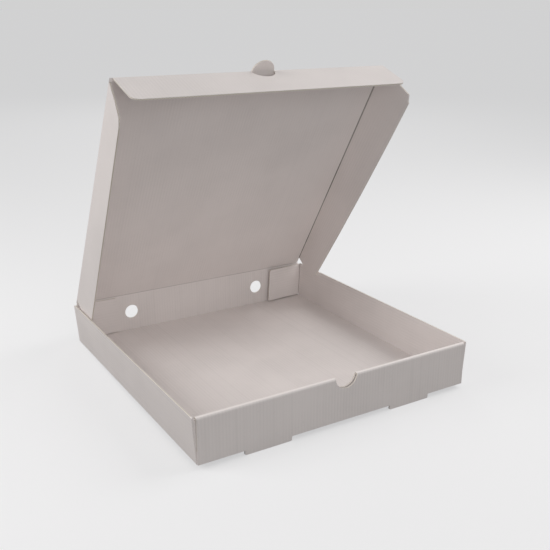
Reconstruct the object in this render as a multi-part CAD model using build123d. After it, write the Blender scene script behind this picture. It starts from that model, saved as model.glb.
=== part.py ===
from build123d import *
from math import atan2, cos, degrees, radians, sin, tan
import os

# One-piece corrugated pizza box, lid held part open. Millimetres and degrees.
# Origin: middle of the tray's underside. +X right, +Y to the rear, +Z up.

# Board
board = 1.6
fold_gap = 0.15
ply_gap = 0.1
outer_crease_radius = 1.3
inner_crease_radius = 0.4
cut_overrun = 5.0

# Tray
tray_width = 308.0
tray_depth = 320.0
wall_height = 46.0
side_wall_flare = 3.0
end_wall_side_gap = 0.8
rear_fold_gap = 0.2
lid_rest_gap = 0.3

# Double front wall, rolled over at the top
roll_radius = 2.5
inner_front_side_gap = 2.4
inner_front_floor_gap = 0.2
notch_radius = 12.5
thumb_offset = 3.4

# Feet, the slots that they leave in the base, and the tabs locked in the slots
foot_spacing = 164.0
foot_width = 49.5
foot_drop = 4.6
foot_corner_radius = 1.6
slot_side_gap = 0.3
slot_depth = 5.0
tab_side_gap = 2.5
tab_lift = 0.2

# Front dust flaps, held between the two layers of the front wall
dust_flap_length = 58.0
dust_flap_bottom = 2.6
dust_flap_top = 43.0
dust_flap_bevel = 7.0

# Vent holes in the rear wall
vent_radius = 8.3
vent_spacing = 174.0
vent_height = 24.5

# Rear corner flaps
corner_flap_length = 51.5
corner_flap_bottom = 3.2
corner_flap_top = 45.6
corner_flap_bevel = 1.2
corner_flap_swing = 14.0
left_corner_flap_sprung = 0.0
right_corner_flap_sprung = 5.0

# Lid
lid_open_angle = 58.0
lid_side_inset = 0.5
lid_front_gap = 1.4
thumb_tab_radius = 12.5
thumb_hole_gap = 0.5

# Front flap of the lid
front_flap_depth = 45.0
front_flap_fold = 78.0
front_flap_taper = 1.0
front_flap_end_gap = 1.7
front_flap_offset = 1.5
front_flap_corner_radius = 9.0

# Side flaps of the lid, held by the side walls at the rear and sprung out at the front
side_flap_depth = 45.0
side_flap_straight_length = 30.0
side_flap_bends = 4
side_flap_root_setback = 4.0
side_flap_shoulder_depth = 24.0
side_flap_shoulder_setback = 7.2
side_flap_nose_clearance = 3.5
side_flap_nose_setback = 12.4
side_flap_free_setback = 20.5
side_flap_nose_radius = 10.0
side_flap_rear_bevel = 12.0
side_flap_rear_radius = 5.0
left_flap_rear_gap = 6.0
left_flap_rear_fold = 91.0
left_flap_front_fold = 83.5
right_flap_rear_gap = 10.0
right_flap_rear_fold = 93.0
right_flap_front_fold = 61.0

# How much further each lid flap is folded in once the lid is shut
front_flap_tuck = 17.5
left_flap_tuck = 9.0
right_flap_tuck = 31.0

# Places worked out from the sizes
half_width = tray_width / 2
front_y = -tray_depth / 2
rear_y = tray_depth / 2
wall_front_y = front_y + board + ply_gap
wall_rear_y = rear_y - board - rear_fold_gap
inner_front_y = front_y + 2 * roll_radius
end_wall_half = half_width - end_wall_side_gap
side_wall_lean = degrees(atan2(side_wall_flare, wall_height))
lid_hinge_z = wall_height + lid_rest_gap + board
lid_length = rear_y - inner_front_y - lid_front_gap
half_lid = half_width - lid_side_inset
side_flap_nose_depth = side_flap_depth - side_flap_nose_clearance

# Directions in the lid: along it to its front fold, and square to its inner face
lid_run = Vector(0, -cos(radians(lid_open_angle)), sin(radians(lid_open_angle)))
lid_inward = Vector(0, -sin(radians(lid_open_angle)), -cos(radians(lid_open_angle)))
lid_hinge = Vector(0, rear_y, lid_hinge_z)
lid_plane = Plane(origin=lid_hinge, x_dir=(1, 0, 0), z_dir=lid_inward)


def mitre_setback(tightest_fold):
    """How far the inner skin stops short of a crease that folds up to this angle."""
    return board * tan(radians(tightest_fold / 2)) + fold_gap


def slab_across(points, low_x, high_x):
    """A slab with this outline, given as pairs of Y and Z, from low_x to high_x."""
    face = make_face(Polyline(*[(low_x, y, z) for y, z in points], close=True))
    return extrude(face, high_x - low_x, dir=(1, 0, 0))


def slab_along(points, low_y, high_y):
    """A slab with this outline, given as pairs of X and Z, from low_y to high_y."""
    face = make_face(Polyline(*[(x, low_y, z) for x, z in points], close=True))
    return extrude(face, high_y - low_y, dir=(0, 1, 0))


def skin_x(z, depth_in_board):
    """Distance from the middle of the tray to a side wall, this deep in its board."""
    lean = radians(side_wall_lean)
    return half_width + z * tan(lean) - depth_in_board / cos(lean)


def base_and_side_walls():
    """Base and both flared side walls, folded up from one sheet."""
    lean = radians(side_wall_lean)
    top_z = wall_height + board * sin(lean)
    right = [
        (half_width, 0),
        (skin_x(wall_height, 0), wall_height),
        (skin_x(top_z, board), top_z),
        (skin_x(board, board), board),
    ]
    left = [(-x, z) for x, z in reversed(right)]
    body = slab_along(right + left, wall_front_y, wall_rear_y)
    low_edges = body.edges().filter_by(Axis.Y).group_by(Axis.Z)
    body = fillet(low_edges[0], outer_crease_radius)
    low_edges = body.edges().filter_by(Axis.Y).filter_by(lambda e: abs(e.center().Z - board) < fold_gap)
    return fillet(low_edges, inner_crease_radius)


def base_strip():
    """The base out to the front and rear folds, between the ends of those walls."""
    points = [(front_y, 0), (rear_y, 0), (rear_y, board), (front_y, board)]
    return slab_across(points, -end_wall_half, end_wall_half)


def corner_crease_groove(side):
    """Where the inner skin of a side wall stops short of its rear corner flap."""
    setback = mitre_setback(90 + corner_flap_swing)
    points = [
        (half_width - board - cut_overrun, wall_rear_y - setback * (board + cut_overrun) / board),
        (half_width, wall_rear_y),
        (half_width - board - cut_overrun, wall_rear_y),
    ]
    return leaning_prism(side, points, 0, wall_height + cut_overrun)


def leaning_prism(side, points, low_z, high_z):
    """A prism that leans outwards with a side wall, its outline given at the base."""
    lean = tan(radians(side_wall_lean))
    face = make_face(Polyline(*[(side * (x + low_z * lean), y, low_z) for x, y in points], close=True))
    slant = (high_z - low_z) / cos(radians(side_wall_lean))
    return extrude(face, slant, dir=(side * lean, 0, 1))


def rear_wall():
    points = [
        (rear_y, 0),
        (rear_y, lid_hinge_z - fold_gap),
        (rear_y - board, lid_hinge_z - mitre_setback(90)),
        (rear_y - board, 0),
    ]
    wall = slab_across(points, -end_wall_half, end_wall_half)
    vent = Plane(origin=(0, rear_y, vent_height), z_dir=(0, 1, 0)) * Cylinder(vent_radius, cut_overrun)
    for x in (-vent_spacing / 2, vent_spacing / 2):
        wall -= Pos(x, 0, 0) * vent
    return wall


def front_wall():
    """Outer layer, rolled top and inner layer of the front wall, with the thumb notch."""
    inner_half = half_width - inner_front_side_gap
    roll_z = wall_height - roll_radius
    floor_z = board + inner_front_floor_gap
    outer = [(front_y, 0), (front_y + board, 0), (front_y + board, roll_z), (front_y, roll_z)]
    inner = [
        (inner_front_y - board, floor_z),
        (inner_front_y, floor_z),
        (inner_front_y, roll_z),
        (inner_front_y - board, roll_z),
    ]
    wall = slab_across(outer, -end_wall_half, end_wall_half)
    wall += slab_across(inner, -inner_half, inner_half)
    across = Plane(origin=(-end_wall_half, front_y + roll_radius, roll_z), x_dir=(0, 1, 0), z_dir=(1, 0, 0))
    ring = Circle(roll_radius) - Circle(roll_radius - board)
    ring &= Rectangle(2 * roll_radius, roll_radius, align=(Align.CENTER, Align.MIN))
    wall += extrude(across * ring, 2 * end_wall_half)
    notch = Plane(origin=(thumb_offset, front_y, wall_height), z_dir=(0, 1, 0))
    return wall - notch * Cylinder(notch_radius, 4 * roll_radius + cut_overrun)


def foot(x):
    """A foot is a piece of the base left standing in the plane of the front wall."""
    plane = Plane(origin=(x, front_y, 0), x_dir=(1, 0, 0), z_dir=(0, -1, 0))
    outline = Rectangle(foot_width, foot_drop, align=(Align.CENTER, Align.MAX))
    outline = fillet(outline.vertices().group_by(Axis.Y)[0], foot_corner_radius)
    return plane * extrude(outline, -board)


def slot(x):
    width = foot_width + 2 * slot_side_gap
    box = Box(width, slot_depth, board + cut_overrun, align=(Align.CENTER, Align.MIN, Align.CENTER))
    return Pos(x, front_y + board, board / 2) * box


def locking_tab(x):
    """Tab on the inner layer's bottom edge, down in the slot behind a foot."""
    width = foot_width - 2 * tab_side_gap
    height = board + inner_front_floor_gap - tab_lift
    box = Box(width, board, height, align=(Align.CENTER, Align.MAX, Align.MIN))
    return Pos(x, inner_front_y, tab_lift) * box


def dust_flap(side):
    """Flap on a side wall's front end, between the layers of the front wall."""
    end_x = half_width - dust_flap_length
    points = [
        (skin_x(dust_flap_bottom, 0), dust_flap_bottom),
        (skin_x(dust_flap_top, 0), dust_flap_top),
        (end_x + dust_flap_bevel, dust_flap_top),
        (end_x, dust_flap_top - dust_flap_bevel),
        (end_x, dust_flap_bottom + dust_flap_bevel),
        (end_x + dust_flap_bevel, dust_flap_bottom),
    ]
    return slab_along([(side * x, z) for x, z in points], wall_front_y, wall_front_y + board)


def tray():
    body = base_and_side_walls() + base_strip()
    for x in (-foot_spacing / 2, foot_spacing / 2):
        body -= slot(x)
    body += rear_wall() + front_wall()
    for x in (-foot_spacing / 2, foot_spacing / 2):
        body += foot(x) + locking_tab(x)
    for side in (-1, 1):
        body += dust_flap(side)
        body -= corner_crease_groove(side) & side_wall_room(side)
    return body


def side_wall_room(side):
    """The room above the base that a side wall stands in, short of the rear wall."""
    points = [
        (half_width - board - cut_overrun, wall_front_y),
        (half_width + cut_overrun, wall_front_y),
        (half_width + cut_overrun, wall_rear_y),
        (half_width - board - cut_overrun, wall_rear_y),
    ]
    return leaning_prism(side, points, board, wall_height + cut_overrun)


def lid_panel():
    """Top of the lid, its inner skin cut back at the creases, with the thumb tab."""
    left = -half_lid + mitre_setback(left_flap_rear_fold + left_flap_tuck)
    right = half_lid - mitre_setback(right_flap_rear_fold + right_flap_tuck)
    rear = mitre_setback(90)
    front = lid_length - mitre_setback(front_flap_fold + front_flap_tuck)
    edge = half_lid - fold_gap
    far = lid_length - fold_gap
    outer = Polyline((-edge, fold_gap), (edge, fold_gap), (edge, far), (-edge, far), close=True)
    inner = Polyline((left, rear), (right, rear), (right, front), (left, front), close=True)
    panel = loft([make_face(outer), Pos(0, 0, board) * make_face(inner)], ruled=True)
    root = Rectangle(2 * thumb_tab_radius, thumb_tab_radius, align=(Align.CENTER, Align.MAX))
    tab = extrude(Circle(thumb_tab_radius) + root, board)
    return lid_plane * (panel + Pos(thumb_offset, lid_length, 0) * tab)


def lid_front_flap():
    """Front flap, with the hole that the thumb tab left and rounded free corners."""
    half = half_lid - front_flap_end_gap
    free_half = half - front_flap_taper
    corners = [(-half, 0), (half, 0), (free_half, front_flap_depth), (-free_half, front_flap_depth)]
    outline = make_face(Polyline(*corners, close=True))
    outline = fillet(outline.vertices().group_by(Axis.Y)[-1], front_flap_corner_radius)
    outline = Pos(front_flap_offset, 0) * outline
    outline -= Pos(thumb_offset, 0) * Circle(thumb_tab_radius + thumb_hole_gap)
    setback = mitre_setback(front_flap_fold + front_flap_tuck)
    section = [(fold_gap, 0), (front_flap_depth, 0), (front_flap_depth, board), (setback, board)]
    blank = slab_across(section, -half_lid, half_lid)
    fold = radians(front_flap_fold)
    z_dir = lid_inward * cos(fold) - lid_run * sin(fold)
    plane = Plane(origin=lid_hinge + lid_run * lid_length, x_dir=(1, 0, 0), z_dir=z_dir)
    return plane * (blank & extrude(outline, board))


def side_flap_section(side, run, fold, setback):
    """Section of a side flap of the lid, square to its crease, this far from the hinge."""
    crease = Vector(side * half_lid, run, 0)
    down = Vector(side * cos(radians(fold)), 0, sin(radians(fold)))
    inwards = Vector(-side * sin(radians(fold)), 0, cos(radians(fold)))
    corners = [
        crease + down * fold_gap,
        crease + down * side_flap_depth,
        crease + down * side_flap_depth + inwards * board,
        crease + down * setback + inwards * board,
    ]
    return make_face(Polyline(*corners, close=True))


def side_flap_outline(rear_gap, front_fold):
    """Room that a side flap's die-cut outline takes, seen across the box."""
    stand = sin(radians(front_fold))
    free_depth = side_flap_depth + cut_overrun
    points = [
        (rear_gap, 0),
        (lid_length - side_flap_root_setback, 0),
        (lid_length - side_flap_shoulder_setback, side_flap_shoulder_depth * stand),
        (lid_length - side_flap_nose_setback, side_flap_nose_depth * stand),
        (lid_length - side_flap_free_setback, side_flap_depth * stand),
        (lid_length - side_flap_free_setback, free_depth),
        (rear_gap + side_flap_rear_bevel + cut_overrun, free_depth),
        (rear_gap, side_flap_depth - side_flap_rear_bevel),
    ]
    room = slab_across(points, -tray_width, tray_width)
    deepest = side_flap_nose_depth * stand + fold_gap
    bends = room.edges().filter_by(Axis.X).filter_by(lambda e: 0 < e.center().Z < deepest)
    front = bends.filter_by(lambda e: e.center().Y > lid_length / 2)
    rear = bends.filter_by(lambda e: e.center().Y < lid_length / 2)
    room = fillet(front, side_flap_nose_radius)
    return fillet(rear, side_flap_rear_radius) if rear else room


def lid_side_flap(side, rear_gap, rear_fold, front_fold, tuck):
    """Side flap: straight where a side wall holds its rear end, twisted open ahead of that."""
    setback = mitre_setback(rear_fold + tuck)
    twisted_length = lid_length - side_flap_straight_length
    sections = [side_flap_section(side, 0, rear_fold, setback)]
    for step in range(side_flap_bends + 1):
        share = step / side_flap_bends
        run = side_flap_straight_length + twisted_length * share
        fold = rear_fold + (front_fold - rear_fold) * share
        sections.append(side_flap_section(side, run, fold, setback))
    strip = loft(sections, ruled=True)
    return lid_plane * (strip & side_flap_outline(rear_gap, front_fold))


def lid_left_flap():
    fold = left_flap_rear_fold
    return lid_side_flap(-1, left_flap_rear_gap, fold, left_flap_front_fold, left_flap_tuck)


def lid_right_flap():
    fold = right_flap_rear_fold
    return lid_side_flap(1, right_flap_rear_gap, fold, right_flap_front_fold, right_flap_tuck)


def rear_corner_flap(side, sprung):
    """Flap on a side wall's rear end, lying inside the rear wall or sprung off it."""
    setback = mitre_setback(90 + corner_flap_swing)
    points = [
        (half_width - fold_gap, wall_rear_y),
        (half_width - corner_flap_length, wall_rear_y),
        (half_width - corner_flap_length, wall_rear_y - board),
        (half_width - setback, wall_rear_y - board),
    ]
    flap = leaning_prism(side, points, corner_flap_bottom, corner_flap_top)
    free_end = flap.edges().filter_by(Axis.Y).sort_by(Axis.X, reverse=side < 0)[:2]
    flap = chamfer(free_end, corner_flap_bevel)
    crease = Axis((side * half_width, wall_rear_y, 0), (side * side_wall_flare, 0, wall_height))
    return flap.rotate(crease, side * sprung)


def save(node, solid):
    export_step(solid, os.path.join("parts", node + ".step"))


def main():
    os.makedirs("parts", exist_ok=True)
    save("tray", tray())
    save("lid_panel", lid_panel())
    save("lid_front_flap", lid_front_flap())
    save("lid_left_flap", lid_left_flap())
    save("lid_right_flap", lid_right_flap())
    save("left_rear_corner_flap", rear_corner_flap(-1, left_corner_flap_sprung))
    save("right_rear_corner_flap", rear_corner_flap(1, right_corner_flap_sprung))


main()
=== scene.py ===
import bpy
from math import atan2, cos, pi, radians, sin, tan
from mathutils import Matrix, Vector


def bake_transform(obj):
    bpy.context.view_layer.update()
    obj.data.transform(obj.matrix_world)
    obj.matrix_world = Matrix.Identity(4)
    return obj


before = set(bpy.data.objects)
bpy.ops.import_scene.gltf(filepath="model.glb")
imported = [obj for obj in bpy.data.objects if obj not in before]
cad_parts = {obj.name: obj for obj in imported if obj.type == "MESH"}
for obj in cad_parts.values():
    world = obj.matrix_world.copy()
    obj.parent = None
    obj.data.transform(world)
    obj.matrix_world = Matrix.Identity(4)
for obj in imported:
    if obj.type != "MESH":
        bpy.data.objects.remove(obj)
bpy.ops.object.select_all(action="DESELECT")
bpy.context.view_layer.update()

bl_info = {
    "name": "Pizza Box",
    "version": (1, 0, 0),
    "blender": (4, 5, 0),
    "location": "View3D > Sidebar > Pizza Box",
    "description": "Dresses a folded white corrugated pizza box and sets its studio",
    "category": "Object",
}

MM = 0.001

# The board
BOARD = 1.6 * MM
FLUTE_PITCH = 3.4 * MM
LINER_THICKNESS = 0.3 * MM

# The folded tray. A point up to SKIN_MARGIN past a wall still counts as the wall's.
HALF_WIDTH = 154.0 * MM
FRONT_Y = -160.0 * MM
REAR_Y = 160.0 * MM
WALL_TOP = 46.0 * MM
FLARE = 3.0 * MM
WALL_LEAN = atan2(FLARE, WALL_TOP)
ROLL_RADIUS = 2.5 * MM
FOOT_DROP = 4.6 * MM
CORNER_FLAP_Y = 158.2 * MM
RIGHT_SPRUNG = radians(5.0)
SKIN_MARGIN = 0.05 * MM

# The lid, half open on its hinge at the top of the rear wall
HINGE_Z = 47.9 * MM
HALF_LID = 153.5 * MM
LID_LENGTH = 313.6 * MM
LID_ANGLE = radians(58.0)
FRONT_FOLD = radians(78.0)
THUMB_X = 3.4 * MM
THUMB_HOLE_RADIUS = 13.0 * MM

# A side flap's fold has its first angle over the straight length, and turns to its second at the front
STRAIGHT_LENGTH = 30.0 * MM
LEFT_FOLDS = (radians(91.0), radians(83.5))
RIGHT_FOLDS = (radians(93.0), radians(61.0))

# How much further each flap folds in when the lid is closed
FRONT_TUCK = radians(17.5)
LEFT_TUCK = radians(9.0)
RIGHT_TUCK = radians(31.0)
HINGE_CLOSED_FOLD = radians(90.0)

# The strips of liner in the lid's creases: where they end, and their section
FOLD_GAP = 0.15 * MM
LEFT_REAR_GAP = 6.0 * MM
RIGHT_REAR_GAP = 10.0 * MM
FRONT_SETBACK = 4.0 * MM
HALF_CREASE = 150.2 * MM
HOLE_CLEARANCE = 0.2 * MM
CREASE_PAPER = 0.25 * MM
CREASE_LAP = 0.5 * MM
LAP_DEPTH = 0.02 * MM
VALLEY_ROUNDING = 0.4 * MM
SIDE_STEPS = 24
STRAIGHT_STEPS = 12
SMOOTH_ANGLE = radians(50.0)

# Directions on the box, with the lid in its half open place
ACROSS = Vector((1, 0, 0))
UP = Vector((0, 0, 1))
FORWARD = Vector((0, -1, 0))
LID_RUN = Vector((0, -cos(LID_ANGLE), sin(LID_ANGLE)))
LID_INWARD = Vector((0, -sin(LID_ANGLE), -cos(LID_ANGLE)))
HINGE = Vector((0, REAR_Y, HINGE_Z))
FRONT_CREASE = HINGE + LID_RUN * LID_LENGTH
FRONT_FLAP_RUN = LID_RUN * cos(FRONT_FOLD) + LID_INWARD * sin(FRONT_FOLD)
FRONT_FLAP_INWARD = LID_INWARD * cos(FRONT_FOLD) - LID_RUN * sin(FRONT_FOLD)

# A face that looks along the sheet's depth by less than the first share is a cut edge.
# A side wall's liner has to look sideways by more than the second.
CUT_FACING_SHARE = 0.35
SIDE_FACING_SHARE = 0.9

# The fluted paper fades out between these distances from its wavy middle line
FLUTE_EDGES = (0.24 * MM, 0.36 * MM)
HOLLOW_DEPTH = 0.2 * MM

# The rolled edge's top is lightened as a painted highlight, and rubbed smoother, from the first to the
# second of these depths below its top
CREST_DEPTHS = (0.8 * MM, 0.1 * MM)
CREST_HIGHLIGHT_SHARE = 1.12
RUBBED_ROUGHNESS = 0.35

# Noise in the paper: its scale and detail, and the ranges that some of it is stretched over
PAPER_NOISE = {"Cloud": (14.0, 3.0), "Grain": (900.0, 4.0), "Fleck": (520.0, 1.0), "Patch": (22.0, 2.0)}
PAPER_RANGES = {"Fleck": (0.70, 0.76, 0.0, 1.0), "Patch": (0.35, 0.65, 0.25, 1.0)}
STREAK_NOISE = {"Scale": 0.55, "Detail": 3.0, "Roughness": 0.7}
STREAK_RANGE = (0.45, 0.75)
CLOUD_RANGE = (0.35, 0.7)
CLOUDED_SHARE = 0.955
RIB_SHARE = 0.07
FLECK_SHARE = 0.10
GRAIN_RANGE = (0.3, 0.7)
ROUGHNESS_SPREAD = (-0.05, 0.06)
GLOSS = 0.35
TRAY_STREAKS = 1.3
LID_STREAKS = 0.5

# A crease has painted shade at the middle of its strip, and none from the second of these shares of the
# width
VALLEY_SHARES = (0.1, 0.3)
# The paper's clouds vary the painted shade in a crease over this range
CREASE_SHADE_BREAKUP_RANGE = (0.3, 0.7, 0.75, 1.0)
# How dark the painted shade is in the side flaps' creases, and in the hinge and front flap creases
DEEP_CREASE = 1.0
SOFT_CREASE = 0.35

# The studio. Each lamp has its name, the property with its power, its width, its place and its aim.
FLOOR_SIZE = 60.0
FLOOR_CLEARANCE = 0.1 * MM
LAMPS = (
    ("Key light", "key_power", 0.7, (-1.0, 0.25, 0.65), (-0.1, 0, 0.15)),
    ("Right light", "right_power", 0.8, (0.9, -0.2, 0.9), (0, -0.05, 0.05)),
    ("Front light", "front_power", 0.8, (-0.2, -1.3, 0.45), (0, 0, 0.1)),
    ("Back light", "back_power", 0.9, (0.9, 1.8, 1.2), (0, 0.1, 0.15)),
)
LAMP_COLOUR = (1.0, 0.985, 0.975)
SENSOR_WIDTH = 36.0
PICTURE_PIXELS = 550
FOCAL_PIXELS = 787.87
SHIFT_PIXELS = (-0.47, 15.11)


# Properties

class PizzaBoxBoard(bpy.types.PropertyGroup):
    liner: bpy.props.FloatVectorProperty(
        name="Liner", description="Colour of the white outer paper",
        subtype="COLOR", size=3, min=0, max=1, default=(0.87, 0.815, 0.795))
    # The fluted paper's own cream, partly lightened as a painted highlight on the cut edges
    medium: bpy.props.FloatVectorProperty(
        name="Flute", description="Colour of the fluted paper seen at a cut edge",
        subtype="COLOR", size=3, min=0, max=1, default=(0.93, 0.88, 0.79))
    # Painted shade in the flute hollows at a cut edge
    gap: bpy.props.FloatVectorProperty(
        name="Flute hollow", description="Colour inside the flutes",
        subtype="COLOR", size=3, min=0, max=1, default=(0.74, 0.67, 0.57))
    rib_shade: bpy.props.FloatVectorProperty(
        name="Rib shade", description="Shade of the ribs that the flutes make in the liner",
        subtype="COLOR", size=3, min=0, max=1, default=(0.45, 0.43, 0.41))
    streak_shade: bpy.props.FloatVectorProperty(
        name="Streak shade", description="Shade of the single flutes that show as streaks",
        subtype="COLOR", size=3, min=0, max=1, default=(0.42, 0.39, 0.37))
    fleck_shade: bpy.props.FloatVectorProperty(
        name="Fleck shade", description="Shade of the flecks in the liner",
        subtype="COLOR", size=3, min=0, max=1, default=(0.50, 0.46, 0.41))
    # Colour of the painted shade down in a fold
    crease: bpy.props.FloatVectorProperty(
        name="Crease", description="Colour down in a fold",
        subtype="COLOR", size=3, min=0, max=1, default=(0.11, 0.095, 0.08))
    pitch: bpy.props.FloatProperty(
        name="Flute pitch", description="Distance from one flute to the next",
        subtype="DISTANCE", unit="LENGTH", default=FLUTE_PITCH)
    liner_thickness: bpy.props.FloatProperty(
        name="Liner thickness", description="Thickness of each outer paper",
        subtype="DISTANCE", unit="LENGTH", default=LINER_THICKNESS)
    rib_depth: bpy.props.FloatProperty(
        name="Rib depth", description="How far the flutes show through the liner",
        subtype="DISTANCE", unit="LENGTH", default=0.02 * MM)
    grain_depth: bpy.props.FloatProperty(
        name="Grain depth", description="Depth of the paper's fibre grain",
        subtype="DISTANCE", unit="LENGTH", default=0.02 * MM)
    streaks: bpy.props.FloatProperty(
        name="Streaks", description="How strongly single flutes show as streaks",
        subtype="FACTOR", min=0, max=1, default=0.045)
    roughness: bpy.props.FloatProperty(
        name="Roughness", description="Roughness of the white liner",
        subtype="FACTOR", min=0, max=1, default=0.62)


class PizzaBoxStudio(bpy.types.PropertyGroup):
    floor: bpy.props.FloatVectorProperty(
        name="Floor", description="Colour of the floor that lights the box from below",
        subtype="COLOR", size=3, min=0, max=1, default=(0.30, 0.30, 0.303))
    floor_seen: bpy.props.FloatVectorProperty(
        name="Floor seen", description="Colour of the floor and backdrop in the picture",
        subtype="COLOR", size=3, min=0, max=1, default=(0.40, 0.40, 0.403))
    floor_lift: bpy.props.FloatProperty(
        name="Floor lift", description="Glow that keeps the floor pale in the picture",
        default=1.3)
    floor_tilt: bpy.props.FloatProperty(
        name="Floor tilt", description="The box stands on its feet and its rear fold",
        subtype="ANGLE", unit="ROTATION", default=atan2(FOOT_DROP, REAR_Y - FRONT_Y))
    key_power: bpy.props.FloatProperty(
        name="Key light", description="Power of the light on the upper left",
        default=6.0)
    right_power: bpy.props.FloatProperty(
        name="Right light", description="Power of the light on the upper right",
        default=5.8)
    front_power: bpy.props.FloatProperty(
        name="Front light", description="Power of the low light in front",
        default=3.2)
    back_power: bpy.props.FloatProperty(
        name="Back light", description="Power of the light behind the lid",
        default=3.6)
    sky: bpy.props.FloatProperty(
        name="Room light", description="Strength of the light from all round",
        default=0.30)
    yaw: bpy.props.FloatProperty(
        name="Camera yaw", description="Heading of the camera from straight ahead",
        subtype="ANGLE", unit="ROTATION", default=radians(31.152))
    pitch: bpy.props.FloatProperty(
        name="Camera pitch", description="How far the camera looks down",
        subtype="ANGLE", unit="ROTATION", default=radians(19.56))
    roll: bpy.props.FloatProperty(
        name="Camera roll", description="Tilt of the horizon",
        subtype="ANGLE", unit="ROTATION", default=radians(-0.116))
    focal: bpy.props.FloatProperty(
        name="Focal length", description="In shares of the picture's width",
        default=FOCAL_PIXELS / PICTURE_PIXELS)
    place: bpy.props.FloatVectorProperty(
        name="Camera place", description="Where the camera stands",
        subtype="TRANSLATION", unit="LENGTH", size=3, default=(-0.40069, -0.69902, 0.36994))
    shift: bpy.props.FloatVectorProperty(
        name="Lens shift", description="In shares of the picture's width",
        size=2, default=(SHIFT_PIXELS[0] / PICTURE_PIXELS, SHIFT_PIXELS[1] / PICTURE_PIXELS))


# Shader helpers

def new_group(name, inputs, outputs):
    """An empty node group with these sockets, and its input and output nodes."""
    group = bpy.data.node_groups.new(name, "ShaderNodeTree")
    for label, kind, default in inputs:
        socket = group.interface.new_socket(name=label, in_out="INPUT", socket_type=kind)
        socket.default_value = default
    for label in outputs:
        group.interface.new_socket(name=label, in_out="OUTPUT", socket_type="NodeSocketFloat")
    return group, group.nodes.new("NodeGroupInput"), group.nodes.new("NodeGroupOutput")


def put(tree, socket, value):
    """Link a socket to this one, or set a plain value on it."""
    if isinstance(value, bpy.types.NodeSocket):
        tree.links.new(value, socket)
    else:
        socket.default_value = value


def math(tree, operation, *values, clamp=False):
    """One sum on numbers."""
    node = tree.nodes.new("ShaderNodeMath")
    node.operation = operation
    node.use_clamp = clamp
    for socket, value in zip(node.inputs, values):
        put(tree, socket, value)
    return node.outputs[0]


def vector_math(tree, operation, *values):
    """One sum on vectors."""
    node = tree.nodes.new("ShaderNodeVectorMath")
    node.operation = operation
    for socket, value in zip(node.inputs, values):
        put(tree, socket, value)
    return node.outputs["Value"] if operation in {"DOT_PRODUCT", "LENGTH"} else node.outputs[0]


def split_vector(tree, vector):
    """The three parts of a vector."""
    node = tree.nodes.new("ShaderNodeSeparateXYZ")
    tree.links.new(vector, node.inputs[0])
    return node.outputs


def blend_values(tree, factor, low, high):
    """A number between two others."""
    node = tree.nodes.new("ShaderNodeMix")
    put(tree, node.inputs["Factor"], factor)
    put(tree, node.inputs[2], low)
    put(tree, node.inputs[3], high)
    return node.outputs[0]


def blend_colours(tree, factor, low, high):
    """A colour between two others."""
    node = tree.nodes.new("ShaderNodeMix")
    node.data_type = "RGBA"
    put(tree, node.inputs["Factor"], factor)
    put(tree, node.inputs[6], low)
    put(tree, node.inputs[7], high)
    return node.outputs[2]


def step_range(tree, value, low, high, to_low=0.0, to_high=1.0):
    """A smooth step from to_low to to_high, as the value goes from low to high."""
    node = tree.nodes.new("ShaderNodeMapRange")
    node.interpolation_type = "SMOOTHSTEP"
    put(tree, node.inputs["Value"], value)
    put(tree, node.inputs["From Min"], low)
    put(tree, node.inputs["From Max"], high)
    put(tree, node.inputs["To Min"], to_low)
    put(tree, node.inputs["To Max"], to_high)
    return node.outputs[0]


def add_group(tree, name, **values):
    """A shared effect, placed with its own values."""
    node = tree.nodes.new("ShaderNodeGroup")
    node.node_tree = bpy.data.node_groups[name]
    for label, value in values.items():
        put(tree, node.inputs[label.replace("_", " ")], value)
    return node.outputs


# Shared effects of the board

def fluted_section_group():
    """The flutes between the liners, at a cut edge, and their ribs through the liner."""
    group, ins, outs = new_group(
        "Fluted Section",
        [("Along", "NodeSocketFloat", 0.0), ("Depth", "NodeSocketFloat", 0.0),
         ("Facing", "NodeSocketFloat", 1.0), ("Pitch", "NodeSocketFloat", FLUTE_PITCH),
         ("Liner", "NodeSocketFloat", LINER_THICKNESS)],
        ["Flute", "Hollow", "Rib", "Streak"])
    along, depth, facing, pitch, liner = ins.outputs[:5]
    flutes = math(group, "DIVIDE", along, pitch)
    wave = math(group, "SINE", math(group, "MULTIPLY", flutes, 2 * pi))
    half = BOARD / 2
    reach = math(group, "SUBTRACT", half, liner)
    middle = math(group, "MULTIPLY_ADD", wave, reach, half)
    off = math(group, "ABSOLUTE", math(group, "SUBTRACT", depth, middle))
    clear = step_range(group, off, *FLUTE_EDGES)
    near_skin = math(group, "MINIMUM", depth, math(group, "SUBTRACT", BOARD, depth))
    inside = math(group, "GREATER_THAN", near_skin, liner)
    cut = math(group, "LESS_THAN", facing, CUT_FACING_SHARE)
    core = math(group, "MULTIPLY", cut, inside)
    hollow = math(group, "MULTIPLY", core, clear)
    group.links.new(math(group, "SUBTRACT", core, hollow), outs.inputs["Flute"])
    group.links.new(hollow, outs.inputs["Hollow"])
    group.links.new(wave, outs.inputs["Rib"])
    streaks = group.nodes.new("ShaderNodeTexNoise")
    streaks.noise_dimensions = "1D"
    for label, value in STREAK_NOISE.items():
        streaks.inputs[label].default_value = value
    group.links.new(flutes, streaks.inputs["W"])
    group.links.new(step_range(group, streaks.outputs[0], *STREAK_RANGE), outs.inputs["Streak"])


def paper_grain_group():
    """Fibre grain, flecks and the faint cloudiness of the white liner."""
    group, ins, outs = new_group(
        "Paper Grain", [("Vector", "NodeSocketVector", (0, 0, 0))], list(PAPER_NOISE))
    for label, (scale, detail) in PAPER_NOISE.items():
        noise = group.nodes.new("ShaderNodeTexNoise")
        noise.inputs["Scale"].default_value = scale
        noise.inputs["Detail"].default_value = detail
        group.links.new(ins.outputs["Vector"], noise.inputs["Vector"])
        value = noise.outputs[0]
        if label in PAPER_RANGES:
            value = step_range(group, value, *PAPER_RANGES[label])
        group.links.new(value, outs.inputs[label])


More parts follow.
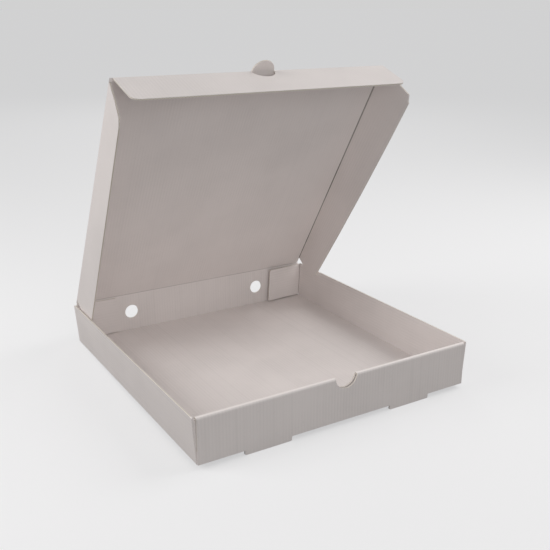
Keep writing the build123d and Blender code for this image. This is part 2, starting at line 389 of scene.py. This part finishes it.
def flat_board_group():
    """Where a point lies in a flat sheet: across the flutes, and how deep under the skin."""
    group, ins, outs = new_group(
        "Flat Board",
        [("Place", "NodeSocketVector", (0, 0, 0)), ("Normal", "NodeSocketVector", (0, 0, 1)),
         ("Skin", "NodeSocketVector", (0, 0, 0)), ("Across", "NodeSocketVector", (1, 0, 0)),
         ("Inward", "NodeSocketVector", (0, 0, 1))],
        ["Along", "Depth", "Facing"])
    place, normal, skin, across, inward = ins.outputs[:5]
    from_skin = vector_math(group, "SUBTRACT", place, skin)
    group.links.new(vector_math(group, "DOT_PRODUCT", from_skin, across), outs.inputs["Along"])
    group.links.new(vector_math(group, "DOT_PRODUCT", from_skin, inward), outs.inputs["Depth"])
    facing = math(group, "ABSOLUTE", vector_math(group, "DOT_PRODUCT", normal, inward))
    group.links.new(facing, outs.inputs["Facing"])


def twisted_flap_group():
    """The same for a side flap of the lid, whose fold opens from its rear end to its front."""
    group, ins, outs = new_group(
        "Twisted Flap",
        [("Place", "NodeSocketVector", (0, 0, 0)), ("Normal", "NodeSocketVector", (0, 0, 1)),
         ("Side", "NodeSocketFloat", 1.0), ("Rear Fold", "NodeSocketFloat", RIGHT_FOLDS[0]),
         ("Front Fold", "NodeSocketFloat", RIGHT_FOLDS[1])],
        ["Along", "Depth", "Facing"])
    place, normal, side, rear, front = ins.outputs[:5]
    from_hinge = vector_math(group, "SUBTRACT", place, HINGE)
    run = vector_math(group, "DOT_PRODUCT", from_hinge, LID_RUN)
    past_straight = math(group, "SUBTRACT", run, STRAIGHT_LENGTH)
    share = math(group, "DIVIDE", past_straight, LID_LENGTH - STRAIGHT_LENGTH, clamp=True)
    fold = math(group, "MULTIPLY_ADD", math(group, "SUBTRACT", front, rear), share, rear)
    cosine = math(group, "COSINE", fold)
    sine = math(group, "SINE", fold)
    sideways = math(group, "MULTIPLY", split_vector(group, from_hinge)[0], side)
    out = math(group, "SUBTRACT", sideways, HALF_LID)
    down = vector_math(group, "DOT_PRODUCT", from_hinge, LID_INWARD)
    along = math(
        group, "ADD", math(group, "MULTIPLY", out, cosine), math(group, "MULTIPLY", down, sine))
    depth = math(
        group, "SUBTRACT", math(group, "MULTIPLY", down, cosine), math(group, "MULTIPLY", out, sine))
    normal_out = math(group, "MULTIPLY", split_vector(group, normal)[0], side)
    normal_down = vector_math(group, "DOT_PRODUCT", normal, LID_INWARD)
    facing = math(
        group, "SUBTRACT", math(group, "MULTIPLY", normal_down, cosine),
        math(group, "MULTIPLY", normal_out, sine))
    group.links.new(along, outs.inputs["Along"])
    group.links.new(depth, outs.inputs["Depth"])
    group.links.new(math(group, "ABSOLUTE", facing), outs.inputs["Facing"])


def tray_board_group():
    """The same for the folded tray: base, flared side walls, rear wall and rolled front wall."""
    group, ins, outs = new_group(
        "Tray Board",
        [("Place", "NodeSocketVector", (0, 0, 0)), ("Normal", "NodeSocketVector", (0, 0, 1))],
        ["Along", "Depth", "Facing", "Crest"])
    place, normal = ins.outputs[:2]
    x, y, z = split_vector(group, place)
    normal_x, normal_y, normal_z = split_vector(group, normal)

    reach = math(group, "MULTIPLY_ADD", z, tan(WALL_LEAN), HALF_WIDTH)
    short_of_skin = math(group, "SUBTRACT", reach, math(group, "ABSOLUTE", x))
    side_depth = math(group, "MULTIPLY", short_of_skin, cos(WALL_LEAN))
    on_side = math(group, "LESS_THAN", side_depth, BOARD + SKIN_MARGIN)

    above = math(group, "GREATER_THAN", z, -SKIN_MARGIN)
    on_base = math(group, "MULTIPLY", math(group, "LESS_THAN", z, BOARD + SKIN_MARGIN), above)

    over_roll = math(group, "SUBTRACT", z, WALL_TOP - ROLL_RADIUS)
    from_roll = group.nodes.new("ShaderNodeCombineXYZ")
    group.links.new(math(group, "SUBTRACT", y, FRONT_Y + ROLL_RADIUS), from_roll.inputs[1])
    group.links.new(math(group, "MAXIMUM", over_roll, 0.0), from_roll.inputs[2])
    radius = vector_math(group, "LENGTH", from_roll.outputs[0])
    front_depth = math(group, "SUBTRACT", ROLL_RADIUS, radius)
    on_front = math(group, "LESS_THAN", y, FRONT_Y + 2 * ROLL_RADIUS + SKIN_MARGIN)
    roll_outward = vector_math(group, "NORMALIZE", from_roll.outputs[0])
    front_facing = vector_math(group, "DOT_PRODUCT", normal, roll_outward)

    rear_depth = math(group, "SUBTRACT", REAR_Y, y)
    on_rear = math(group, "LESS_THAN", rear_depth, BOARD + SKIN_MARGIN)

    side_facing = math(group, "GREATER_THAN", math(group, "ABSOLUTE", normal_x), SIDE_FACING_SHARE)
    facing = math(group, "MULTIPLY", on_side, side_facing)
    for here, value in ((on_base, normal_z), (on_front, front_facing), (on_rear, normal_y)):
        skin = math(group, "GREATER_THAN", math(group, "ABSOLUTE", value), CUT_FACING_SHARE)
        facing = math(group, "MAXIMUM", facing, math(group, "MULTIPLY", here, skin))

    # The crest marks where the rolled front edge's top gets its painted highlight
    low, high = (WALL_TOP - depth for depth in CREST_DEPTHS)
    crest = math(group, "MULTIPLY", on_front, step_range(group, z, low, high))

    depth = blend_values(group, on_front, rear_depth, front_depth)
    at_end = math(group, "MAXIMUM", on_front, on_rear)
    open_base = math(group, "MULTIPLY", on_base, math(group, "SUBTRACT", 1.0, at_end))
    depth = blend_values(group, open_base, depth, z)
    depth = blend_values(group, on_side, depth, side_depth)
    group.links.new(blend_values(group, on_side, x, z), outs.inputs["Along"])
    group.links.new(depth, outs.inputs["Depth"])
    group.links.new(facing, outs.inputs["Facing"])
    group.links.new(crest, outs.inputs["Crest"])


# Materials

def new_material(name):
    """A material with its node tree and its shader."""
    material = bpy.data.materials.new(name)
    material.use_nodes = True
    return material, material.node_tree, material.node_tree.nodes["Principled BSDF"]


def shaded(colour, share):
    """An opaque colour that is this share of another."""
    return tuple(min(1.0, share * part) for part in colour) + (1,)


def paper_shine(tree, grain):
    """Roughness that changes a little with the fibres."""
    roughness = bpy.context.scene.pizza_box_board.roughness
    return step_range(
        tree, grain["Grain"], *GRAIN_RANGE, *(roughness + part for part in ROUGHNESS_SPREAD))


def board_colour(tree, section, grain, streaked):
    """The liner with its clouds, ribs, streaks and flecks, and the flutes at its cut edges, lightened
    partly as a painted highlight, with painted shade in their hollows.
    """
    board = bpy.context.scene.pizza_box_board
    cloud = step_range(tree, grain["Cloud"], *CLOUD_RANGE)
    colour = blend_colours(tree, cloud, (*board.liner, 1), shaded(board.liner, CLOUDED_SHARE))
    rib = step_range(tree, section["Rib"], -1.0, 1.0, 0.0, RIB_SHARE)
    rib = math(tree, "MULTIPLY", rib, grain["Patch"])
    streak = math(tree, "MULTIPLY", section["Streak"], board.streaks * streaked)
    fleck = math(tree, "MULTIPLY", grain["Fleck"], FLECK_SHARE)
    # At a cut edge the fluted paper is partly a painted highlight, and its hollows carry painted shade
    layers = (
        (rib, board.rib_shade), (streak, board.streak_shade), (fleck, board.fleck_shade),
        (section["Flute"], board.medium), (section["Hollow"], board.gap))
    for share, shade in layers:
        colour = blend_colours(tree, share, colour, (*shade, 1))
    return colour


def board_bump(tree, section, grain):
    """Ribs and fibres that stand up from the liner, and hollows sunk into its cut edges."""
    board = bpy.context.scene.pizza_box_board
    rib = math(tree, "MULTIPLY", section["Rib"], board.rib_depth)
    rib = math(tree, "MULTIPLY", rib, grain["Patch"])
    fibre = math(tree, "MULTIPLY", grain["Grain"], board.grain_depth)
    sunk = math(tree, "MULTIPLY", section["Hollow"], -HOLLOW_DEPTH)
    height = math(tree, "ADD", math(tree, "ADD", rib, fibre), sunk)
    bump = tree.nodes.new("ShaderNodeBump")
    bump.inputs["Distance"].default_value = 1.0
    bump.inputs["Strength"].default_value = 1.0
    tree.links.new(height, bump.inputs["Height"])
    return bump.outputs[0]


def board_material(name, coordinates, streaked=1.0, **values):
    """White-lined fluted board, with its section on every cut edge."""
    board = bpy.context.scene.pizza_box_board
    material, tree, shader = new_material(name)
    spot = tree.nodes.new("ShaderNodeTexCoord").outputs
    where = add_group(tree, coordinates, Place=spot["Object"], Normal=spot["Normal"], **values)
    section = add_group(
        tree, "Fluted Section", Along=where["Along"], Depth=where["Depth"],
        Facing=where["Facing"], Pitch=board.pitch, Liner=board.liner_thickness)
    grain = add_group(tree, "Paper Grain", Vector=spot["Object"])
    colour = board_colour(tree, section, grain, streaked)
    shine = paper_shine(tree, grain)
    # A painted highlight along the top of the rolled front edge, where it is also smoother
    if "Crest" in where:
        colour = blend_colours(tree, where["Crest"], colour, shaded(board.liner, CREST_HIGHLIGHT_SHARE))
        shine = blend_values(tree, where["Crest"], shine, RUBBED_ROUGHNESS)
    tree.links.new(colour, shader.inputs["Base Color"])
    tree.links.new(shine, shader.inputs["Roughness"])
    tree.links.new(board_bump(tree, section, grain), shader.inputs["Normal"])
    shader.inputs["Specular IOR Level"].default_value = GLOSS
    return material


def crease_material(name, darkness):
    """The liner in a fold's inside, with painted shade along its valley."""
    board = bpy.context.scene.pizza_box_board
    material, tree, shader = new_material(name)
    spot = tree.nodes.new("ShaderNodeTexCoord").outputs
    grain = add_group(tree, "Paper Grain", Vector=spot["Object"])
    from_middle = math(tree, "SUBTRACT", split_vector(tree, spot["UV"])[0], 0.5)
    off = math(tree, "ABSOLUTE", from_middle)
    # Painted shade along the valley, varied by the paper's clouds
    valley = step_range(tree, off, *VALLEY_SHARES, darkness, 0.0)
    painted_crease_shade = math(tree, "MULTIPLY", valley, step_range(tree, grain["Cloud"], *CREASE_SHADE_BREAKUP_RANGE))
    colour = blend_colours(tree, painted_crease_shade, (*board.liner, 1), (*board.crease, 1))
    tree.links.new(colour, shader.inputs["Base Color"])
    tree.links.new(paper_shine(tree, grain), shader.inputs["Roughness"])
    shader.inputs["Specular IOR Level"].default_value = GLOSS
    return material


def dress(node, material):
    """Give a folded panel its board."""
    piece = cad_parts[node]
    piece.data.materials.clear()
    piece.data.materials.append(material)


# Creases

def inside_setback(tightest):
    """How far a skin stops short of a fold that closes up to this angle."""
    return BOARD * tan(tightest / 2) + FOLD_GAP


def crease_section(corner, panel_a, panel_b, fold, setback):
    """Points across the inside of a fold, from one panel's inner skin to the other's.

    Each panel is given by its way out from the fold and its way in from its outer skin.
    """
    a_out, a_in = panel_a
    b_out, b_in = panel_b
    under = BOARD - LAP_DEPTH
    lapped = setback + CREASE_LAP
    valley = corner + a_in * BOARD + a_out * (BOARD * tan(fold / 2))
    a_side = valley + a_out * VALLEY_ROUNDING
    b_side = valley + b_out * VALLEY_ROUNDING
    return [
        corner + a_out * lapped + a_in * under,
        corner + a_out * setback + a_in * under,
        a_side,
        (valley * 2 + a_side + b_side) / 4,
        b_side,
        corner + b_out * setback + b_in * under,
        corner + b_out * lapped + b_in * under,
    ]


def crease_liner(name, sections, material):
    """The liner pressed in along a fold."""
    across = len(sections[0]) - 1
    along = len(sections) - 1
    bpy.ops.object.select_all(action="DESELECT")
    bpy.ops.mesh.primitive_grid_add(x_subdivisions=across, y_subdivisions=along, size=2)
    strip = bpy.context.object
    strip.name = name
    for vertex in strip.data.vertices:
        column = round((vertex.co.x + 1) / 2 * across)
        row = round((vertex.co.y + 1) / 2 * along)
        vertex.co = sections[row][column]
    middle = sections[along // 2]
    inside = (middle[0] + middle[-1]) / 2 - middle[across // 2]
    if sum(polygon.normal.dot(inside) for polygon in strip.data.polygons) < 0:
        strip.data.flip_normals()
    paper = strip.modifiers.new("Paper", "SOLIDIFY")
    paper.thickness = CREASE_PAPER
    paper.offset = -1
    bpy.ops.object.modifier_apply(modifier=paper.name)
    bpy.ops.object.shade_smooth_by_angle(angle=SMOOTH_ANGLE)
    strip.data.materials.append(material)
    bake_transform(strip)


def side_fold(folds, run):
    """A side flap's fold at this distance from the hinge."""
    share = (run - STRAIGHT_LENGTH) / (LID_LENGTH - STRAIGHT_LENGTH)
    return folds[0] + (folds[1] - folds[0]) * min(max(share, 0), 1)


def side_crease(name, side, folds, rear_gap, tuck, material):
    """The crease between the lid and a side flap; side is -1 on the left and 1 on the right."""
    setback = inside_setback(folds[0] + tuck)
    length = LID_LENGTH - FRONT_SETBACK - rear_gap
    sections = []
    for step in range(SIDE_STEPS + 1):
        run = rear_gap + length * step / SIDE_STEPS
        fold = side_fold(folds, run)
        corner = HINGE + ACROSS * (side * HALF_LID) + LID_RUN * run
        lid = (-side * ACROSS, LID_INWARD)
        flap_run = ACROSS * (side * cos(fold)) + LID_INWARD * sin(fold)
        flap_inward = LID_INWARD * cos(fold) - ACROSS * (side * sin(fold))
        sections.append(crease_section(corner, lid, (flap_run, flap_inward), fold, setback))
    crease_liner(f"{name}_flap_crease", sections, material)


def straight_crease(name, corner, span, panels, fold, setback, material):
    """A crease that runs across the box, from one end of the span to the other."""
    low, high = span
    sections = []
    for step in range(STRAIGHT_STEPS + 1):
        place = corner + ACROSS * (low + (high - low) * step / STRAIGHT_STEPS)
        sections.append(crease_section(place, *panels, fold, setback))
    crease_liner(name, sections, material)


# Studio

def floor_and_backdrop(studio):
    """The floor meets the feet in front and the base's rear fold behind."""
    bpy.ops.mesh.primitive_plane_add(size=FLOOR_SIZE, location=(0, REAR_Y, 0))
    floor = bpy.context.object
    floor.name = "floor"
    turn = Matrix.Rotation(studio.floor_tilt, 4, "X")
    floor.data.transform(Matrix.Translation((0, REAR_Y, -FLOOR_CLEARANCE)) @ turn)
    floor.location = (0, 0, 0)
    material, tree, shader = new_material("Studio floor")
    lighting = (*studio.floor, 1)
    seen = (*studio.floor_seen, 1)
    shader.inputs["Roughness"].default_value = 1.0
    shader.inputs["Specular IOR Level"].default_value = 0.0
    shader.inputs["Emission Color"].default_value = seen
    by_camera = tree.nodes.new("ShaderNodeLightPath").outputs["Is Camera Ray"]
    tree.links.new(blend_colours(tree, by_camera, lighting, seen), shader.inputs["Base Color"])
    lift = math(tree, "MULTIPLY", by_camera, studio.floor_lift)
    tree.links.new(lift, shader.inputs["Emission Strength"])
    floor.data.materials.append(material)


def area_light(name, power, width, place, target):
    """A soft square lamp at its place, turned to its target."""
    bpy.ops.object.light_add(type="AREA", location=place)
    lamp = bpy.context.object
    lamp.name = name
    lamp.data.energy = power
    lamp.data.size = width
    lamp.data.color = LAMP_COLOUR
    aim = Vector(target) - Vector(place)
    lamp.rotation_euler = aim.to_track_quat("-Z", "Y").to_euler()


def lights(studio):
    """Four soft lamps, and light from all round that looks as pale as the far floor."""
    for name, power, width, place, target in LAMPS:
        area_light(name, getattr(studio, power), width, place, target)
    world = bpy.data.worlds.new("Studio room")
    bpy.context.scene.world = world
    world.use_nodes = True
    tree = world.node_tree
    background = tree.nodes["Background"]
    background.inputs["Color"].default_value = (1, 1, 1, 1)
    path = tree.nodes.new("ShaderNodeLightPath").outputs
    seen = math(tree, "MAXIMUM", path["Is Camera Ray"], path["Is Glossy Ray"])
    horizon = studio.floor_seen[0] * (studio.floor_lift + studio.sky)
    tree.links.new(blend_values(tree, seen, studio.sky, horizon), background.inputs["Strength"])


def camera(studio):
    """A camera at the photograph's place, heading and lens."""
    level = cos(studio.pitch)
    forward = Vector((sin(studio.yaw) * level, cos(studio.yaw) * level, -sin(studio.pitch)))
    right = Vector((cos(studio.yaw), -sin(studio.yaw), 0))
    up = right.cross(forward)
    turned_right = cos(studio.roll) * right + sin(studio.roll) * up
    turned_up = cos(studio.roll) * up - sin(studio.roll) * right
    bpy.ops.object.camera_add(location=studio.place)
    view = bpy.context.object
    view.name = "Photograph view"
    axes = Matrix((turned_right, turned_up, -forward)).transposed()
    view.rotation_euler = axes.to_euler()
    view.data.sensor_width = SENSOR_WIDTH
    view.data.lens = studio.focal * SENSOR_WIDTH
    view.data.shift_x = studio.shift[0]
    view.data.shift_y = studio.shift[1]
    bpy.context.scene.camera = view
    bpy.context.scene.view_settings.view_transform = "Standard"


# Operators

class PIZZABOX_OT_effects(bpy.types.Operator):
    """Build the shared effects of the fluted board"""
    bl_idname = "pizzabox.effects"
    bl_label = "Board effects"

    def execute(self, context):
        fluted_section_group()
        paper_grain_group()
        flat_board_group()
        twisted_flap_group()
        tray_board_group()
        return {"FINISHED"}


class PIZZABOX_OT_tray(bpy.types.Operator):
    """Dress the folded tray and its two rear corner flaps"""
    bl_idname = "pizzabox.tray"
    bl_label = "Tray"

    def execute(self, context):
        dress("tray", board_material("Tray board", "Tray Board", streaked=TRAY_STREAKS))
        dress("left_rear_corner_flap", board_material(
            "Left corner flap board", "Flat Board",
            Skin=(0, CORNER_FLAP_Y, 0), Across=UP, Inward=FORWARD))
        lean = Vector((sin(WALL_LEAN), 0, cos(WALL_LEAN)))
        sprung = Matrix.Rotation(RIGHT_SPRUNG, 3, lean)
        dress("right_rear_corner_flap", board_material(
            "Right corner flap board", "Flat Board",
            Skin=(HALF_WIDTH, CORNER_FLAP_Y, 0), Across=UP, Inward=sprung @ FORWARD))
        return {"FINISHED"}


class PIZZABOX_OT_lid(bpy.types.Operator):
    """Dress the lid's top and its three flaps"""
    bl_idname = "pizzabox.lid"
    bl_label = "Lid"

    def execute(self, context):
        dress("lid_panel", board_material(
            "Lid board", "Flat Board", streaked=LID_STREAKS,
            Skin=HINGE, Across=ACROSS, Inward=LID_INWARD))
        dress("lid_front_flap", board_material(
            "Front flap board", "Flat Board", streaked=LID_STREAKS,
            Skin=FRONT_CREASE, Across=ACROSS, Inward=FRONT_FLAP_INWARD))
        for name, side, folds in (("left", -1.0, LEFT_FOLDS), ("right", 1.0, RIGHT_FOLDS)):
            dress(f"lid_{name}_flap", board_material(
                f"lid {name} flap board", "Twisted Flap", streaked=LID_STREAKS,
                Side=side, Rear_Fold=folds[0], Front_Fold=folds[1]))
        return {"FINISHED"}


class PIZZABOX_OT_creases(bpy.types.Operator):
    """Line the inside of the lid's folds"""
    bl_idname = "pizzabox.creases"
    bl_label = "Creases"

    def execute(self, context):
        # Both crease materials paint shade along their valleys, the deep one darker
        deep = crease_material("Deep crease", DEEP_CREASE)
        soft = crease_material("Soft crease", SOFT_CREASE)
        side_crease("left", -1, LEFT_FOLDS, LEFT_REAR_GAP, LEFT_TUCK, deep)
        side_crease("right", 1, RIGHT_FOLDS, RIGHT_REAR_GAP, RIGHT_TUCK, deep)
        straight_crease(
            "lid_hinge_crease", HINGE, (-HALF_CREASE, HALF_CREASE),
            ((-UP, FORWARD), (LID_RUN, LID_INWARD)), HINGE_CLOSED_FOLD - LID_ANGLE,
            inside_setback(HINGE_CLOSED_FOLD), soft)
        hole = THUMB_HOLE_RADIUS + HOLE_CLEARANCE
        spans = {"left": (-HALF_CREASE, THUMB_X - hole), "right": (THUMB_X + hole, HALF_CREASE)}
        for side, span in spans.items():
            straight_crease(
                f"front_flap_crease_{side}", FRONT_CREASE, span,
                ((-LID_RUN, LID_INWARD), (FRONT_FLAP_RUN, FRONT_FLAP_INWARD)), FRONT_FOLD,
                inside_setback(FRONT_FOLD + FRONT_TUCK), soft)
        return {"FINISHED"}


class PIZZABOX_OT_stage(bpy.types.Operator):
    """Set the floor, the lights and the camera"""
    bl_idname = "pizzabox.stage"
    bl_label = "Studio"

    def execute(self, context):
        studio = context.scene.pizza_box_studio
        floor_and_backdrop(studio)
        lights(studio)
        camera(studio)
        return {"FINISHED"}


class PIZZABOX_PT_panel(bpy.types.Panel):
    """Sizes, colours and steps of the pizza box"""
    bl_label = "Pizza Box"
    bl_idname = "PIZZABOX_PT_panel"
    bl_space_type = "VIEW_3D"
    bl_region_type = "UI"
    bl_category = "Pizza Box"

    def draw(self, context):
        for group in (context.scene.pizza_box_board, context.scene.pizza_box_studio):
            for name in group.bl_rna.properties.keys():
                if name not in {"rna_type", "name"}:
                    self.layout.prop(group, name)
        for step in STEPS:
            self.layout.operator(step.bl_idname)


STEPS = (
    PIZZABOX_OT_effects,
    PIZZABOX_OT_tray,
    PIZZABOX_OT_lid,
    PIZZABOX_OT_creases,
    PIZZABOX_OT_stage,
)
CLASSES = (PizzaBoxBoard, PizzaBoxStudio, *STEPS, PIZZABOX_PT_panel)


def register():
    for item in CLASSES:
        bpy.utils.register_class(item)
    bpy.types.Scene.pizza_box_board = bpy.props.PointerProperty(type=PizzaBoxBoard)
    bpy.types.Scene.pizza_box_studio = bpy.props.PointerProperty(type=PizzaBoxStudio)


def unregister():
    del bpy.types.Scene.pizza_box_studio
    del bpy.types.Scene.pizza_box_board
    for item in reversed(CLASSES):
        bpy.utils.unregister_class(item)


def main():
    register()
    bpy.ops.pizzabox.effects()
    bpy.ops.pizzabox.tray()
    bpy.ops.pizzabox.lid()
    bpy.ops.pizzabox.creases()
    bpy.ops.pizzabox.stage()


if __name__ == "__main__":
    main()
